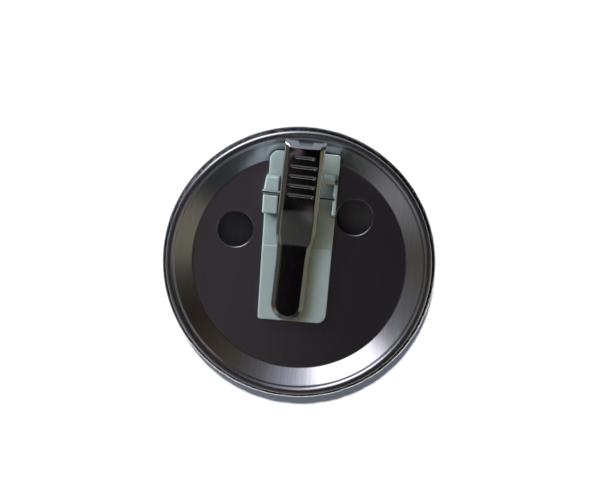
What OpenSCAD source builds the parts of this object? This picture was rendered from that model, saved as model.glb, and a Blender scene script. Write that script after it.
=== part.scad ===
// Button badge with a crocodile clip on its back, lying on its domed front.
// Millimetres. +Z points out of the back, and +Y runs along the lever to its thumb end.
// The origin is the lowest point of the domed front, under the badge's centre.

/* [Badge front] */
// Outside diameter of the badge
badge_d = 58; // [54:0.5:64]
// Radius of the domed front
dome_radius = 130; // [110:5:180]
// Radius of the front's lower edge
edge_radius = 2; // [1.8:0.1:2.4]
// Height of the front's upright side
wall_h = 0.8; // [0.6:0.1:1]
// Radius of the curl that turns the front's edge in
curl_radius = 1.2; // [1.15:0.05:1.3]
// Thickness of the clear film
film_t = 0.1; // [0.06:0.01:0.16]
// Thickness of the paper disc
paper_t = 0.14; // [0.1:0.01:0.2]
// Thickness of the front shell's tinplate
shell_t = 0.26; // [0.2:0.01:0.32]
// Gap between one layer and the next
layer_gap = 0.02; // [0.01:0.01:0.04]
// Angle on the curl where film and paper end, inside the bead
film_end = 112; // [108:1:116]
// How many degrees short of the film the shell's edge stops
shell_setback = 8; // [4:1:12]

/* [Back plate] */
// Thickness of the back plate's tinplate
plate_t = 0.3; // [0.2:0.02:0.36]
// Outer radius of the rolled bead
bead_r = 1.1; // [1.05:0.05:1.2]
// Angle on the curl where the bead grips it
crimp_angle = 122; // [119:1:125]
// Distance from the bead's centre to the curl inside it
crimp_reach = 0.5; // [0.46:0.02:0.54]
// Degrees that the bead's free edge stays above the film
lip_margin = 12; // [8:1:14]
// Angle on the bead where the sloping ring runs into it
bead_foot = 165; // [155:1:180]
// Depth of the dish below the top of the bead
dish_depth = 3.04; // [2.8:0.02:3.2]
// Width of the sloping ring between the flat and the bead
slope_w = 3.48; // [3:0.02:4]
// Bend radius between the flat and the sloping ring
dish_bend = 1.5; // [1:0.1:2]
// Diameter of the two round holes
hole_d = 7.6; // [6:0.1:8.4]
// Radius of the circle that the holes lie on
hole_circle = 15.35; // [14.6:0.05:16.2]
// Angle of each hole from the line halfway between them
hole_angle = 56; // [50:1:62]
// Turn of that line from the lever's length
hole_turn = 12.5; // [8:0.5:16]

/* [Clip base] */
// Width of the base at its middle
base_w = 14.8; // [14.2:0.1:15.4]
// How much wider the base is at its thumb end than at its jaw end
base_taper = 0.8; // [0:0.1:1.2]
// How far the base's left side steps in past the left ear
base_step = 0.5; // [0.2:0.1:0.8]
// Length of the base
base_len = 35.8; // [34:0.1:37]
// Thickness of the base under the ears
base_t = 1.3; // [1:0.1:1.6]
// Height of the jaw's bed above the rest of the base
bed_rise = 0.3; // [0.1:0.05:0.5]
// Place of the bed's edge, from the axle towards the jaw
bed_start = 11.1; // [10:0.1:12]
// Radius of the base's two round corners
base_corner = 1.9; // [1:0.1:2.6]
// Radius of the base's other corners
base_nick = 0.5; // [0.4:0.05:0.8]
// Bevel round the base's top edge
base_bevel = 0.35; // [0.1:0.05:0.5]
// Place of the base's middle across the badge
base_x = -0.78; // [-1.2:0.02:-0.4]
// Place of the base's middle along the badge
base_y = 5.72; // [5.2:0.02:6]
// Turn of the base from the lever, as it was assembled
base_turn = 2.3; // [0:0.1:3]
// Thickness of the foam tape
tape_t = 1.2; // [1.1:0.05:1.6]
// How far the tape stays inside the base's edge
tape_inset = 0.8; // [0.4:0.1:2]

/* [Ears and axle] */
// Diameter of the axle
axle_d = 1; // [0.8:0.05:1.2]
// Height of the axle above the base
axle_rise = 2.3; // [2.1:0.05:2.6]
// Place of the axle along the badge
axle_y = 14.8; // [14.4:0.05:15.2]
// Clearance round the axle in the ears
ear_fit = 0.02; // [0.01:0.01:0.05]
// Height of the ears above the axle's middle
ear_cap = 0.35; // [0.3:0.05:0.6]
// Length of the ears from the axle towards the jaw
ear_south = 4.4; // [3.8:0.1:4.8]
// Length of the right ear from the axle towards the thumb end
right_ear_north = 4.8; // [4.2:0.1:5.4]
// Length of the left ear from the axle towards the thumb end
left_ear_north = 3.8; // [3.4:0.1:4.2]
// Width of the right ear's end block
right_ear_w = 3; // [2.4:0.1:3.2]
// Thickness of the right ear's outer wall
right_wall = 0.85; // [0.7:0.05:1.2]
// Length of the right ear's end block
end_block = 2.1; // [1.6:0.1:2.6]
// Width of the left ear
left_ear_w = 2.7; // [2.2:0.1:3]
// How far the left ear stands out past the base's edge
left_ear_out = 0.3; // [0.2:0.1:0.6]
// Width of the slot that the axle snaps in by
snap_w = 0.8; // [0.6:0.05:0.9]
// Slope of the ears' ends, as a horizontal run
ear_run = 0.8; // [0.4:0.1:1.2]
// Radius of the ears' upper corners
ear_round = 0.5; // [0.3:0.1:0.8]
// Length of axle that stands out past the left ear
axle_out = 0.4; // [0.2:0.05:0.8]
// Depth of the axle's seat in the right wall
axle_seat = 0.5; // [0.3:0.05:0.6]
// Chamfer on the axle's ends
axle_chamfer = 0.15; // [0.05:0.05:0.25]

/* [Clip lever] */
// Thickness of the lever's sheet steel
lever_t = 0.5; // [0.4:0.02:0.6]
// Place of the lever's middle across the badge
lever_x = -1.3; // [-1.6:0.05:-1]
// Clearance of the axle in the lever's holes
lever_fit = 0.05; // [0.02:0.01:0.1]
// Width of the thumb pad
pad_w = 8.35; // [8:0.05:8.6]
// Width of the lever at its hips
hip_w = 8.55; // [8.2:0.05:8.8]
// Length from the axle to the hips
hip_at = 5.58; // [5.2:0.02:6]
// Length from the axle to where the hips end
hip_end = 8.35; // [8:0.05:8.8]
// Width of the lever where the jaw begins
neck_w = 7.3; // [7:0.05:7.6]
// Width of the jaw
jaw_w = 7; // [6.6:0.05:7.3]
// Width of the end flange at its free edge
flange_w = 8.5; // [8.2:0.1:8.8]
// Length from the axle to the fold at the thumb end
thumb_reach = 9.8; // [9.4:0.1:10.2]
// Length from the axle to the jaw's tip
jaw_reach = 26.7; // [26:0.1:27]
// Length from the axle to the upper bend
waist_top = 3.05; // [2.8:0.05:3.4]
// Length from the axle to the lower bend
waist_end = 10.8; // [10.2:0.1:11.4]
// Height of the pad's surface above the axle's middle
lever_cap = 2.1; // [2:0.05:2.4]
// Slope of the thumb pad
pad_angle = 9.2; // [8:0.1:11]
// Gap between the closed jaw and its bed
jaw_gap = 0.1; // [0.05:0.05:0.3]
// Depth of the flange round the jaw's tip
jaw_depth = 1.7; // [1.5:0.05:2]
// Depth of the flange where the jaw begins
waist_depth = 1.45; // [1.3:0.05:1.7]
// Depth of the flange along the thumb pad
pad_depth = 1.8; // [1.6:0.05:2]
// Radius of the flange's lobe round the axle
lobe_r = 1.5; // [1.3:0.05:1.7]
// Width of the sloping edge along the lever
rim_w = 0.9; // [0.7:0.05:1]
// Slope of that edge
rim_slope = 36; // [30:1:42]
// Inner radius of the bends along it
rim_bend = 0.1; // [0.05:0.05:0.2]
// Length of the end flange
flange_len = 1.85; // [1.6:0.05:2.1]
// Angle of the end flange below the level
flange_drop = 38; // [32:1:46]
// How far the end flange's corners stand out
horn = 0.35; // [0:0.05:0.5]
// Width of the notch in the end flange
notch_w = 2.9; // [2:0.1:3.4]
// Depth of the notch in the end flange
notch_depth = 0.75; // [0.4:0.05:0.9]
// Number of grooves across the thumb pad
groove_count = 5; // [3:1:5]
// Distance from one groove to the next
groove_pitch = 1.98; // [1.7:0.02:2]
// Length of a groove
groove_len = 5.6; // [4.6:0.1:6]
// How much shorter the groove at the thumb end is
groove_short = 1.2; // [0:0.1:2]
// Width of a groove
groove_w = 0.8; // [0.6:0.05:1]
// Depth of a groove
groove_depth = 0.16; // [0.1:0.02:0.22]

/* [Clip spring] */
// Diameter of the spring's wire
wire_d = 0.5; // [0.4:0.02:0.54]
// Radius of the coil to the middle of its wire
coil_r = 1.1; // [1:0.02:1.14]
// Number of whole turns
coil_turns = 4; // [3:1:4]
// Distance from one turn to the next
coil_pitch = 1.02; // [0.98:0.02:1.1]
// Length of each straight leg
leg_len = 6; // [5:0.1:6.4]
// Clearance of the legs from what they press on
leg_gap = 0.06; // [0.02:0.02:0.12]

/* [Hidden] */

round_fn = 96;
dome_steps = 10;
edge_steps = 8;
curl_steps = 10;
bead_steps = 16;
bend_steps = 5;
rim_steps = 3;
corner_steps = 6;
wire_sides = 6;
rings_per_turn = 8;
cut = 1;
skin = 0.01;

// Front: the dome, the lower edge, the upright side and the curl share tangents
dome_tilt = asin((badge_d / 2 - edge_radius) / (dome_radius - edge_radius));
edge_c = [badge_d / 2 - edge_radius, dome_radius - (dome_radius - edge_radius) * cos(dome_tilt)];
curl_c = [badge_d / 2 - curl_radius, edge_c.y + wall_h];
paper_out = film_t + layer_gap;
shell_out = paper_out + paper_t + layer_gap;

// Back: the bead grips the curl, and its lip stops just above the film
bead_in = bead_r - plate_t;
crimp = curl_radius - crimp_reach;
bead_c = curl_c + crimp * [cos(crimp_angle), sin(crimp_angle)];
mouth = acos((bead_in ^ 2 + crimp ^ 2 - curl_radius ^ 2) / (2 * bead_in * crimp));
lip_angle = crimp_angle - 180 + mouth + lip_margin;
plate_z = bead_c.y + bead_r - dish_depth;
slope_end = bead_c + bead_r * [cos(bead_foot), sin(bead_foot)];
slope_start = [slope_end.x - slope_w, plate_z];

// Clip: heights from the plate upwards
base_z = plate_z + tape_t;
floor_z = base_z + base_t;
bed_z = floor_z + bed_rise;
axle_z = floor_z + axle_rise;
jaw_z = bed_z + jaw_gap + jaw_depth;
pad_slope = tan(pad_angle);

// Axle's ends, on the faces of the ears that it passes
axle_run = axle_y - base_y;
left_face = -half_base(axle_run) - left_ear_out;
right_edge = half_base(axle_run);
right_face = right_edge - right_wall;
axle_left = ear_x(left_face) - axle_out;
axle_right = ear_x(right_face) + axle_seat;

// Outlines
function arc(c, r, from, to, steps) =
    [for (i = [0:steps]) let (a = from + (to - from) * i / steps) c + r * [cos(a), sin(a)]];

function tail(list) = [for (i = [1:len(list) - 1]) list[i]];

function reversed(list) = [for (i = [len(list) - 1:-1:0]) list[i]];

function left_of(a, b) = let (d = (b - a) / norm(b - a)) [-d.y, d.x];

// A path moved sideways by a distance, with mitred corners that stop at the axis
function moved_path(p, by) = [
    for (i = [0:len(p) - 1])
        let (
            before = max(i - 1, 0),
            after = min(i, len(p) - 2),
            m = left_of(p[before], p[before + 1]) + left_of(p[after], p[after + 1]),
            q = p[i] + by * 2 * m / (m * m)
        )
        [max(q.x, 0), q.y]
];

// The outline of a sheet between two distances from a path
function sheet(p, near, far) = concat(moved_path(p, near), reversed(moved_path(p, far)));

// The points of a round bend at b on the way from a to c
function bend(a, b, c, r, steps) =
    let (
        u = (a - b) / norm(a - b),
        v = (c - b) / norm(c - b),
        half = acos(u * v) / 2,
        middle = b + (u + v) / norm(u + v) * r / sin(half),
        first = b + u * r / tan(half) - middle,
        last = b + v * r / tan(half) - middle,
        start = atan2(first.y, first.x),
        turn = atan2(first.x * last.y - first.y * last.x, first * last)
    )
    arc(middle, r, start, start + turn, steps);

function front_path(end) = concat(
    arc([0, dome_radius], dome_radius, -90, -90 + dome_tilt, dome_steps),
    tail(arc(edge_c, edge_radius, -90 + dome_tilt, 0, edge_steps)),
    arc(curl_c, curl_radius, 0, end, curl_steps)
);

plate_path = concat(
    [[0, plate_z]],
    bend([0, plate_z], slope_start, slope_end, dish_bend, bend_steps),
    arc(bead_c, bead_r, bead_foot, lip_angle, bead_steps)
);

// A convex outline, counted anticlockwise, with its sides moved in
function inset(p, by) = [
    for (i = [0:len(p) - 1])
        let (
            before = p[(i + len(p) - 1) % len(p)],
            after = p[(i + 1) % len(p)],
            m = left_of(before, p[i]) + left_of(p[i], after)
        )
        p[i] + by * 2 * m / (m * m)
];

// An outline with a round bend at each of its corners
function rounded(p, radii) = [
    for (i = [0:len(p) - 1])
        each bend(p[(i + len(p) - 1) % len(p)], p[i], p[(i + 1) % len(p)], radii[i], corner_steps)
];

// Half the base's width at a place along it, from its middle
function half_base(y) = (base_w + base_taper * y / base_len) / 2;

// The base's corners from the upper right: the whole length, and the wider part from the step down
base_end = base_len / 2;
step_y = axle_run + left_ear_north - ear_run;
long_corners = [
    [half_base(base_end), base_end],
    [base_step - half_base(base_end), base_end],
    [base_step - half_base(-base_end), -base_end],
    [half_base(-base_end), -base_end]
];
wide_corners = [
    [half_base(step_y), step_y],
    [-half_base(step_y), step_y],
    [-half_base(-base_end), -base_end],
    [half_base(-base_end), -base_end]
];
long_radii = [base_nick, base_corner, base_nick, base_corner];
wide_radii = [base_nick, base_nick, base_nick, base_corner];

// Where a face of the base, square to its width, crosses the axle's line
function ear_x(face) =
    base_x + (face - axle_run * sin(base_turn)) / cos(base_turn);

// Solids that several pieces use
module revolved(points) {
    rotate_extrude($fn = round_fn) polygon(points);
}

module on_base() {
    translate([base_x, base_y, 0]) rotate(base_turn) children();
}

module along_x(from, to, r) {
    translate([from, axle_y, axle_z]) rotate([0, 90, 0]) cylinder(h = to - from, r = r, $fn = round_fn);
}

// Badge
module front_shell() {
    color("silver")
        revolved(sheet(front_path(film_end - shell_setback), shell_out, shell_out + shell_t));
}

module artwork_disc() {
    color("midnightblue") revolved(sheet(front_path(film_end), paper_out, paper_out + paper_t));
}

module clear_film() {
    color("lightsteelblue") revolved(sheet(front_path(film_end), 0, film_t));
}

module back_plate() {
    color("dimgray") difference() {
        revolved(sheet(plate_path, 0, -plate_t));
        for (side = [-1, 1])
            rotate(90 + hole_turn + side * hole_angle)
                translate([hole_circle, 0, plate_z - plate_t - cut])
                    cylinder(h = plate_t + 2 * cut, d = hole_d, $fn = round_fn);
    }
}

// Foam tape under the base, kept on the plate's flat
module adhesive_pad() {
    color("white") intersection() {
        on_base()
            translate([0, 0, plate_z])
                linear_extrude(tape_t)
                    polygon(rounded(inset(long_corners, tape_inset), long_radii));
        translate([0, 0, plate_z])
            cylinder(h = tape_t, r = slope_start.x - dish_bend, $fn = round_fn);
    }
}

// Clip base
module bevelled_slab(corners, radii, top) {
    hull() {
        translate([0, 0, base_z])
            linear_extrude(top - base_z - base_bevel)
                polygon(rounded(corners, radii));
        translate([0, 0, base_z])
            linear_extrude(top - base_z)
                polygon(rounded(inset(corners, base_bevel), radii));
    }
}

// One ear's side outline, with its axle hole at the outline's y = 0
module ear(from, width, north) {
    low = base_z + base_t / 2;
    top = axle_z + ear_cap;
    foot_south = [-ear_south, low];
    foot_north = [north, low];
    top_south = [ear_run - ear_south, top];
    top_north = [north - ear_run, top];
    translate([from, axle_run, 0])
        rotate([90, 0, 90])
            linear_extrude(width)
                polygon(concat(
                    [foot_south],
                    bend(foot_south, top_south, top_north, ear_round, bend_steps),
                    bend(top_south, top_north, foot_north, ear_round, bend_steps),
                    [foot_north]
                ));
}

module clip_base() {
    bed_edge = axle_run - bed_start;
    pocket_from = right_edge - right_ear_w - cut;
    color("honeydew") difference() {
        on_base() {
            bevelled_slab(long_corners, long_radii, floor_z);
            bevelled_slab(wide_corners, wide_radii, floor_z);
            intersection() {
                bevelled_slab(wide_corners, wide_radii, bed_z);
                translate([-base_w, bed_edge - base_len, base_z])
                    cube([2 * base_w, base_len, base_t + bed_rise + cut]);
            }
            ear(left_face, left_ear_w, left_ear_north);
            difference() {
                ear(right_edge - right_ear_w, right_ear_w, right_ear_north);
                translate([pocket_from, axle_run - ear_south - cut, floor_z])
                    cube([
                        right_face - pocket_from,
                        ear_south + right_ear_north - end_block + cut,
                        axle_rise + ear_cap + cut
                    ]);
            }
        }
        along_x(axle_left - cut, axle_right + skin, axle_d / 2 + ear_fit);
        translate([axle_left - cut, axle_y - snap_w / 2, axle_z])
            cube([lever_x - axle_left, snap_w, ear_cap + cut]);
    }
}

module clip_axle() {
    r = axle_d / 2;
    run = axle_right - axle_left;
    color("gainsboro")
        translate([axle_left, axle_y, axle_z])
            rotate([0, 90, 0])
                revolved([
                    [0, 0], [r - axle_chamfer, 0], [r, axle_chamfer],
                    [r, run - axle_chamfer], [r - axle_chamfer, run], [0, run]
                ]);
}

// Clip lever
// The path of its upper surface from the end flange to the jaw, as [along, up]
function pad_top(y) = axle_z + lever_cap + y * pad_slope;

fold = [thumb_reach, pad_top(thumb_reach)];
flange_tip = fold + flange_len * [cos(flange_drop), -sin(flange_drop)];
upper_bend = [-waist_top, pad_top(-waist_top)];
lower_bend = [-waist_end, jaw_z];
jaw_middle = [jaw_w / 2 - jaw_reach, jaw_z];
fold_r = 0.9;
upper_bend_r = 9;
lower_bend_r = 2.5;
lobe_steps = 8;
waist_steps = 6;

lobe_stations = [
    for (i = [0:lobe_steps]) let (y = lobe_r * cos(180 * i / lobe_steps)) [y, pad_top(y)]
];

upper_arc = bend(fold, upper_bend, lower_bend, upper_bend_r, bend_steps);
lower_arc = bend(upper_bend, lower_bend, jaw_middle, lower_bend_r, bend_steps);

waist_stations = [
    for (i = [1:waist_steps - 1])
        let (f = i / waist_steps)
        upper_arc[bend_steps] * (1 - f) + lower_arc[0] * f
];

lever_path = concat(
    [flange_tip],
    bend(flange_tip, fold, upper_bend, fold_r, bend_steps),
    lobe_stations,
    upper_arc,
    waist_stations,
    lower_arc,
    [jaw_middle]
);

// Half the lever's width at a place along it
half_widths = [
    [flange_tip.x, flange_w / 2],
    [fold.x, pad_w / 2],
    [-waist_top, pad_w / 2],
    [-hip_at, hip_w / 2],
    [-hip_end, pad_w / 2],
    [-waist_end, neck_w / 2],
    [-waist_end - lower_bend_r, jaw_w / 2],
    [jaw_middle.x, jaw_w / 2]
];

// Depth of the flanges at a place along the lever, with the lobe round the axle
rim_drop = rim_w * tan(rim_slope);
flat_depth = lever_t + rim_drop;
depths = [
    [flange_tip.x, flat_depth],
    [fold.x, flat_depth],
    [fold.x - fold_r, pad_depth],
    [lobe_r, pad_depth],
    [-waist_end, waist_depth],
    [jaw_middle.x, jaw_depth]
];

function flange_depth(p) =
    max(lookup(p.x, depths), abs(p.x) < lobe_r ? p.y - axle_z + sqrt(lobe_r ^ 2 - p.x ^ 2) : 0);

// Half a section, as [across, down from the upper surface]: the flat, its sloping edge and the flange
function edge_path(w, depth) =
    let (
        r = lever_t + rim_bend,
        top = [w - rim_w, 0],
        knee = [w, rim_drop],
        foot = [w, depth]
    )
    concat(
        [[0, 0]],
        bend([0, 0], top, knee, r, rim_steps),
        bend(top, knee, foot, r, rim_steps),
        [foot]
    );

function bent_half(w, depth, t) = tail(moved_path(edge_path(w, depth), t));

function mirrored(half) = [for (p = reversed(half)) [-p.x, p.y]];

function section(w, depth) =
    let (outer = bent_half(w, depth, 0), inner = bent_half(w, depth, lever_t))
    concat(mirrored(outer), outer, reversed(concat(mirrored(inner), inner)));

// The unit vector into the sheet at a station of the path
function inward(i) =
    let (
        last = len(lever_path) - 1,
        along = lever_path[min(i + 1, last)] - lever_path[max(i - 1, 0)]
    )
    i == last ? [0, -1] : [-along.y, along.x] / norm(along);

// How far a point of the end flange's free edge stands out, from its bend to its corner
function horn_out(x, w) = horn * max(0, abs(x) + rim_w - w) / rim_w;

lever_rings = [
    for (i = [0:len(lever_path) - 1])
        let (
            p = lever_path[i],
            down = inward(i),
            w = lookup(p.x, half_widths),
            out = [cos(flange_drop), -sin(flange_drop)] * (i == 0 ? 1 : 0)
        )
        [for (s = section(w, flange_depth(p)))
            let (q = p + s.y * down + horn_out(s.x, w) * out)
            [s.x, q.x, q.y]]
];

// A solid skinned over rings of equally many points, with strips across its ends
module skinned(rings, ends) {
    n = len(rings[0]);
    walls = [
        for (i = [0:len(rings) - 2], k = [0:n - 1])
            let (a = i * n + k, b = i * n + (k + 1) % n)
            each [[a, b, b + n], [a, b + n, a + n]]
    ];
    last = (len(rings) - 1) * n;
    caps = concat(
        [for (f = ends) [f[2], f[1], f[0]]],
        [for (f = ends) [f[0] + last, f[1] + last, f[2] + last]]
    );
    polyhedron([for (ring = rings) each ring], concat(walls, caps));
}

// The bent section is a band: its end is closed by a strip between outside and inside
function band_ends(n) = [
    for (k = [0:n / 2 - 2])
        each [[k, k + 1, n - 2 - k], [k, n - 2 - k, n - 1 - k]]
];

// The rounded tip of the jaw, turned from half a section
module jaw_tip() {
    outer = bent_half(jaw_w / 2, jaw_depth, 0);
    inner = bent_half(jaw_w / 2, jaw_depth, lever_t);
    half = concat([[0, 0]], outer, reversed(inner), [[0, lever_t]]);
    translate([0, jaw_middle.x, jaw_z])
        rotate(180)
            rotate_extrude(angle = 180, $fn = round_fn)
                polygon([for (p = half) [p.x, -p.y]]);
}

// A round-ended groove, as the body that cuts it
module groove(len) {
    r = (groove_w ^ 2 / 4 + groove_depth ^ 2) / (2 * groove_depth);
    half = (len - groove_w) / 2;
    translate([0, 0, r - groove_depth])
        rotate([0, 90, 0])
            revolved(concat(
                arc([0, -half], r, -90, 0, corner_steps),
                arc([0, half], r, 0, 90, corner_steps)
            ));
}

module clip_lever() {
    color("lightgray") difference() {
        translate([lever_x, axle_y, 0]) {
            difference() {
                skinned(lever_rings, band_ends(len(lever_rings[0])));
                translate([0, flange_tip.x, flange_tip.y])
                    rotate([-flange_drop, 0, 0])
                        cube([notch_w, 2 * notch_depth, 4 * lever_t], center = true);
                for (i = [0:groove_count - 1])
                    let (y = i * groove_pitch, short = i == groove_count - 1 ? groove_short : 0)
                    translate([0, y, pad_top(y)]) rotate([pad_angle, 0, 0]) groove(groove_len - short);
            }
            jaw_tip();
        }
        along_x(lever_x - hip_w, lever_x + hip_w, axle_d / 2 + lever_fit);
    }
}

// Clip spring
// Each leg leaves the coil on a tangent at the angle that brings its end to its seat
function leg_angle(rise) = atan2(leg_len, coil_r) - acos(rise / norm([leg_len, coil_r]));

pad_under = lever_cap * cos(pad_angle) - lever_t;
lower_leg = leg_angle(axle_rise - wire_d / 2 - leg_gap);
upper_leg = pad_angle + leg_angle(pad_under - wire_d / 2 - leg_gap);
coil_from = lower_leg;
coil_to = 360 * coil_turns + 180 - upper_leg;
ring_count = ceil((coil_to - coil_from) / 360 * rings_per_turn);
spring_left = lever_x - coil_pitch * (coil_to - coil_from) / 720;

function outward(a) = [0, -sin(a), -cos(a)];

function forward(a) = [0, -cos(a), sin(a)];

function coil_angle(i) = coil_from + (coil_to - coil_from) * i / ring_count;

function coil_point(i) =
    [spring_left + coil_pitch * (coil_angle(i) - coil_from) / 360, axle_y, axle_z]
        + coil_r * outward(coil_angle(i));

spring_stations = concat(
    [[coil_point(0) - leg_len * forward(coil_from), coil_from]],
    [for (i = [0:ring_count]) [coil_point(i), coil_angle(i)]],
    [[coil_point(ring_count) + leg_len * forward(coil_to), coil_to]]
);

spring_rings = [
    for (s = spring_stations)
        [for (k = [0:wire_sides - 1])
            let (a = 360 * k / wire_sides)
            s[0] + wire_d / 2 * (cos(a) * outward(s[1]) + sin(a) * [1, 0, 0])]
];

least_gap = min([
    for (i = [0:ring_count], j = [i + rings_per_turn / 2:1:ring_count])
        norm(coil_point(j) - coil_point(i)) - wire_d
]);
echo(least_gap_between_turns = least_gap);

function fan_ends(n) = [for (k = [1:n - 2]) [0, k, k + 1]];

module clip_spring() {
    color("darkgray") skinned(spring_rings, fan_ends(wire_sides));
}

front_shell();
artwork_disc();
clear_film();
back_plate();
adhesive_pad();
clip_base();
clip_axle();
clip_spring();
clip_lever();
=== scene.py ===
"""Looks of a button badge with a crocodile clip on its back, lying on its domed front."""

import math

import bpy
import numpy as np
from bpy.props import FloatProperty, FloatVectorProperty, IntProperty, PointerProperty
from mathutils import Matrix, Vector


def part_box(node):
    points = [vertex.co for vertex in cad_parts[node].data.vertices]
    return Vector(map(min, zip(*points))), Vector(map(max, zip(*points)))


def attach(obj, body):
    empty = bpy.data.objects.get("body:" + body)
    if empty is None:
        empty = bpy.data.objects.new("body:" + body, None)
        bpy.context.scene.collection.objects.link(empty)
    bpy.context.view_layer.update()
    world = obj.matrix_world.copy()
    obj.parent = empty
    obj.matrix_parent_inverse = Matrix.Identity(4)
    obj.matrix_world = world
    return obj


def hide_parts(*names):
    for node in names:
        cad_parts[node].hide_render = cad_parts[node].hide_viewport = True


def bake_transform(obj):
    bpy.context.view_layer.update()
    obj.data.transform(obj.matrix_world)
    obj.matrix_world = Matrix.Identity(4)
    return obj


bl_info = {
    "name": "Button badge looks",
    "version": (1, 0, 0),
    "blender": (4, 5, 0),
    "location": "View3D > Sidebar > Badge",
    "description": "Builds the visible pieces of a button badge with a clip",
    "category": "Object",
}

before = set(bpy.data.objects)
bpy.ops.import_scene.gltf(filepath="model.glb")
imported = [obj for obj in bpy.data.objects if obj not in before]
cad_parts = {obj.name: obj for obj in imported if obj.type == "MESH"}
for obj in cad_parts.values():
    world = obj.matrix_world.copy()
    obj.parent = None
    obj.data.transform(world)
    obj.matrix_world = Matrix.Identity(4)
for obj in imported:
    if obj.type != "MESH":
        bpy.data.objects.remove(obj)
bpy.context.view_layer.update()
MM = 0.001

# Edges that turn by more than this stay sharp
SHARP = math.radians(42)
# Points at the same ten-thousandth of a millimetre are made one
WELDS_PER_MM = 1e4
# Turn of the photograph's right-hand side from +X, anticlockwise
PHOTO_TURN = math.radians(6.8)

FILM_HIGH = np.array(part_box("clear_film")[1]) / MM
AXLE_LOW, AXLE_HIGH = (np.array(corner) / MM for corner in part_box("clip_axle"))
TAPE_LOW, TAPE_HIGH = (np.array(corner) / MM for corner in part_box("adhesive_pad"))


def linear(text):
    """An sRGB hex value as linear red, green and blue."""
    parts = [int(text[i : i + 2], 16) / 255 for i in (1, 3, 5)]
    return [p / 12.92 if p <= 0.04045 else ((p + 0.055) / 1.055) ** 2.4 for p in parts]


def length(name, description, millimetres):
    """A length property whose default is given in millimetres."""
    return FloatProperty(
        name=name, description=description, default=millimetres * MM, unit="LENGTH", precision=5
    )


def angle(name, description, degrees):
    """An angle property whose default is given in degrees."""
    return FloatProperty(
        name=name, description=description, default=math.radians(degrees), subtype="ANGLE"
    )


def finish(name, description, text):
    """A colour property whose default is an sRGB hex value."""
    return FloatVectorProperty(
        name=name, description=description, default=linear(text), subtype="COLOR", min=0, max=1
    )


class BadgeSizes(bpy.types.PropertyGroup):
    """Sizes of the badge's front and of its back plate."""

    rim: length("Rim radius", "Outside radius of the badge", FILM_HIGH[0])
    dome: length("Dome radius", "Radius of the domed front", 130)
    edge: length("Edge radius", "Radius of the front's lower edge", 2)
    wall: length("Wall", "Height of the front's upright side", 0.8)
    curl: length("Curl radius", "Radius of the front's edge where it turns in", 1.2)
    film: length("Film", "Thickness of the clear film", 0.1)
    paper: length("Paper", "Thickness of the printed paper", 0.14)
    shell: length("Shell", "Thickness of the front's tinplate", 0.26)
    layer_gap: length("Layer gap", "Gap between one layer and the next", 0.02)
    tuck: angle("Tuck", "Angle on the curl where the film ends", 112)
    setback: angle("Setback", "Angle that the shell stops short of the film", 8)
    pleats: IntProperty(name="Pleats", description="Gathers round the film's edge", default=34)
    pleat_depth: length("Pleat depth", "Depth of a gather in the film's edge", 0.16)
    plate: length("Plate", "Thickness of the back plate", 0.3)
    plate_z: length("Plate height", "Height of the plate's flat", 4.33369)
    slope_from: length("Slope start", "Radius where the sloping ring starts", 22.88654)
    slope_to: length("Slope end", "Radius where the sloping ring ends", 26.36654)
    slope_top: length("Slope top", "Height where the sloping ring ends", 6.5584)
    bead: length("Bead", "Outer radius of the rolled bead", 1.1)
    bead_at: length("Bead place", "Radius of the circle through the bead's middle", 27.42906)
    bead_z: length("Bead height", "Height of the bead's middle", 6.27369)
    bead_foot: angle("Bead foot", "Angle on the bead where the slope meets it", 165)
    lip: angle("Lip", "Angle on the bead of its free edge", 60.07)
    hole: length("Hole", "Radius of the two round holes", 3.8)
    hole_circle: length("Hole circle", "Radius of the circle that the holes lie on", 15.35)
    hole_angle: angle("Hole angle", "Angle of each hole from the line between them", 56)
    hole_turn: angle("Hole turn", "Angle of that line from the sideways axis", 102.5)
    burr: length("Hole edge", "Rounding of the holes' edges", 0.22)


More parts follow.
